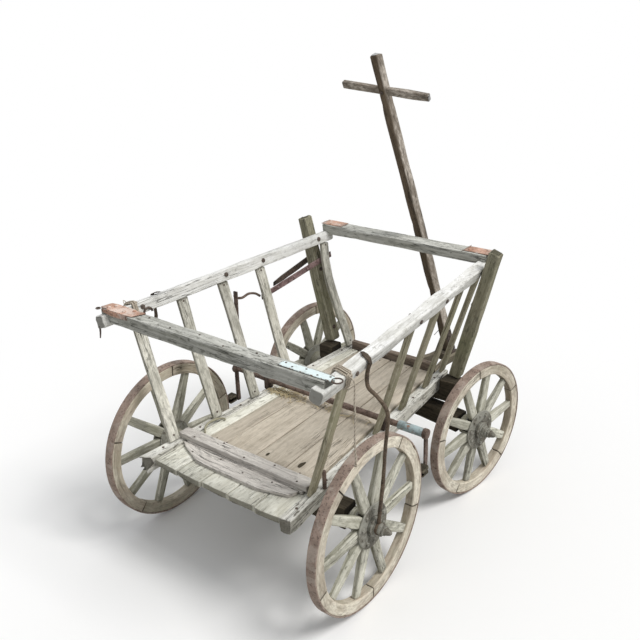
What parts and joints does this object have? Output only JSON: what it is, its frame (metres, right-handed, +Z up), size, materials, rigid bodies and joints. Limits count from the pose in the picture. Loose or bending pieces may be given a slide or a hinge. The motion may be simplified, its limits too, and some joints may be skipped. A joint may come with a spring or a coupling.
{
  "type": "ladder-sided hand cart",
  "caption": "Weathered wooden hand cart with spoked wheels, leaning ladder sides, a steered front axle, a seized brake and a hinged drawbar with a cross handle.",
  "frame": {"origin": "on the ground, under the middle of the bounding box without the loose cord", "axes": "+X forward to the drawbar, +Y to the cart's left, +Z up"},
  "size_m": [1.444, 0.986, 1.5057],
  "materials": {
    "weathered_wood": "rough, grey-beige, weathered",
    "bleached_wood": "rough, whitish and bleached",
    "dark_wood": "rough, dark brown, weathered",
    "rusty_iron": "matt, rusty",
    "dark_iron": "matt, dark, worn",
    "blue_iron": "faded light blue, worn",
    "old_cord": "twisted, frayed, dirty"
  },
  "bodies": {
    "cart": {"floor_boards": "weathered_wood", "tray_boards": "bleached_wood", "bed_rails": "bleached_wood", "floor_battens": "dark_wood", "front_board": "dark_wood", "ladder_slats": "weathered_wood", "top_rails": "bleached_wood", "stakes": "dark_wood", "rear_crossbar": "weathered_wood", "front_crossbar": "weathered_wood", "corner_straps": "rusty_iron", "ring_strap": "blue_iron", "rear_axle_beam": "dark_wood", "rear_axle_iron": "dark_iron", "stay_rods": "rusty_iron", "reach_pole": "dark_wood", "front_bolster": "dark_wood", "turntable_upper": "rusty_iron", "brake_shaft": "rusty_iron", "brake_sleeve": "blue_iron", "brake_hangers": "rusty_iron", "brake_blocks": "weathered_wood", "brake_arm": "rusty_iron", "brake_rod": "rusty_iron", "brake_strap": "rusty_iron", "brake_lever": "dark_iron", "rail_binding": "old_cord", "rail_hook": "dark_iron", "bed_irons": "rusty_iron", "cord_binding": "old_cord", "hanging_cord": "old_cord", "cord_end": "old_cord"},
    "front_carriage": {"turntable_lower": "rusty_iron", "front_axle_beam": "dark_wood", "front_axle_iron": "dark_iron", "fork_arms": "dark_wood", "hinge_pin": "dark_iron"},
    "drawbar": {"drawbar_pole": "dark_wood", "drawbar_handle": "dark_wood", "drawbar_irons": "dark_iron"},
    "wheel_rear_left": {"tyre_rear_left": "rusty_iron", "felloes_rear_left": "weathered_wood", "spokes_rear_left": "weathered_wood", "hub_plates_rear_left": "dark_iron"},
    "wheel_rear_right": {"tyre_rear_right": "rusty_iron", "felloes_rear_right": "weathered_wood", "spokes_rear_right": "weathered_wood", "hub_plates_rear_right": "dark_iron"},
    "wheel_front_left": {"tyre_front_left": "rusty_iron", "felloes_front_left": "weathered_wood", "spokes_front_left": "weathered_wood", "hub_plates_front_left": "dark_iron"},
    "wheel_front_right": {"tyre_front_right": "rusty_iron", "felloes_front_right": "weathered_wood", "spokes_front_right": "weathered_wood", "hub_plates_front_right": "dark_iron"}
  },
  "joints": [
    {"name": "steering", "type": "hinge", "parent": "cart", "child": "front_carriage", "pos_m": [0.29704, 0, 0.277], "axis": [0, 0, 1], "range_deg": [-16, 32]},
    {"name": "drawbar_swing", "type": "hinge", "parent": "front_carriage", "child": "drawbar", "pos_m": [0.69513, -0.05595, 0.258], "axis": [0.1392, 0.9903, 0], "range_deg": [0, 116]},
    {"name": "wheel_rear_left_spin", "type": "hinge", "parent": "cart", "child": "wheel_rear_left", "pos_m": [-0.44696, 0.414, 0.275], "axis": [0, 1, 0], "continuous": true},
    {"name": "wheel_rear_right_spin", "type": "hinge", "parent": "cart", "child": "wheel_rear_right", "pos_m": [-0.44696, -0.414, 0.275], "axis": [0, 1, 0], "continuous": true},
    {"name": "wheel_front_left_spin", "type": "hinge", "parent": "front_carriage", "child": "wheel_front_left", "pos_m": [0.35466, 0.40997, 0.245], "axis": [0.1392, 0.9903, 0], "continuous": true},
    {"name": "wheel_front_right_spin", "type": "hinge", "parent": "front_carriage", "child": "wheel_front_right", "pos_m": [0.23942, -0.40997, 0.245], "axis": [0.1392, 0.9903, 0], "continuous": true}
  ]
}
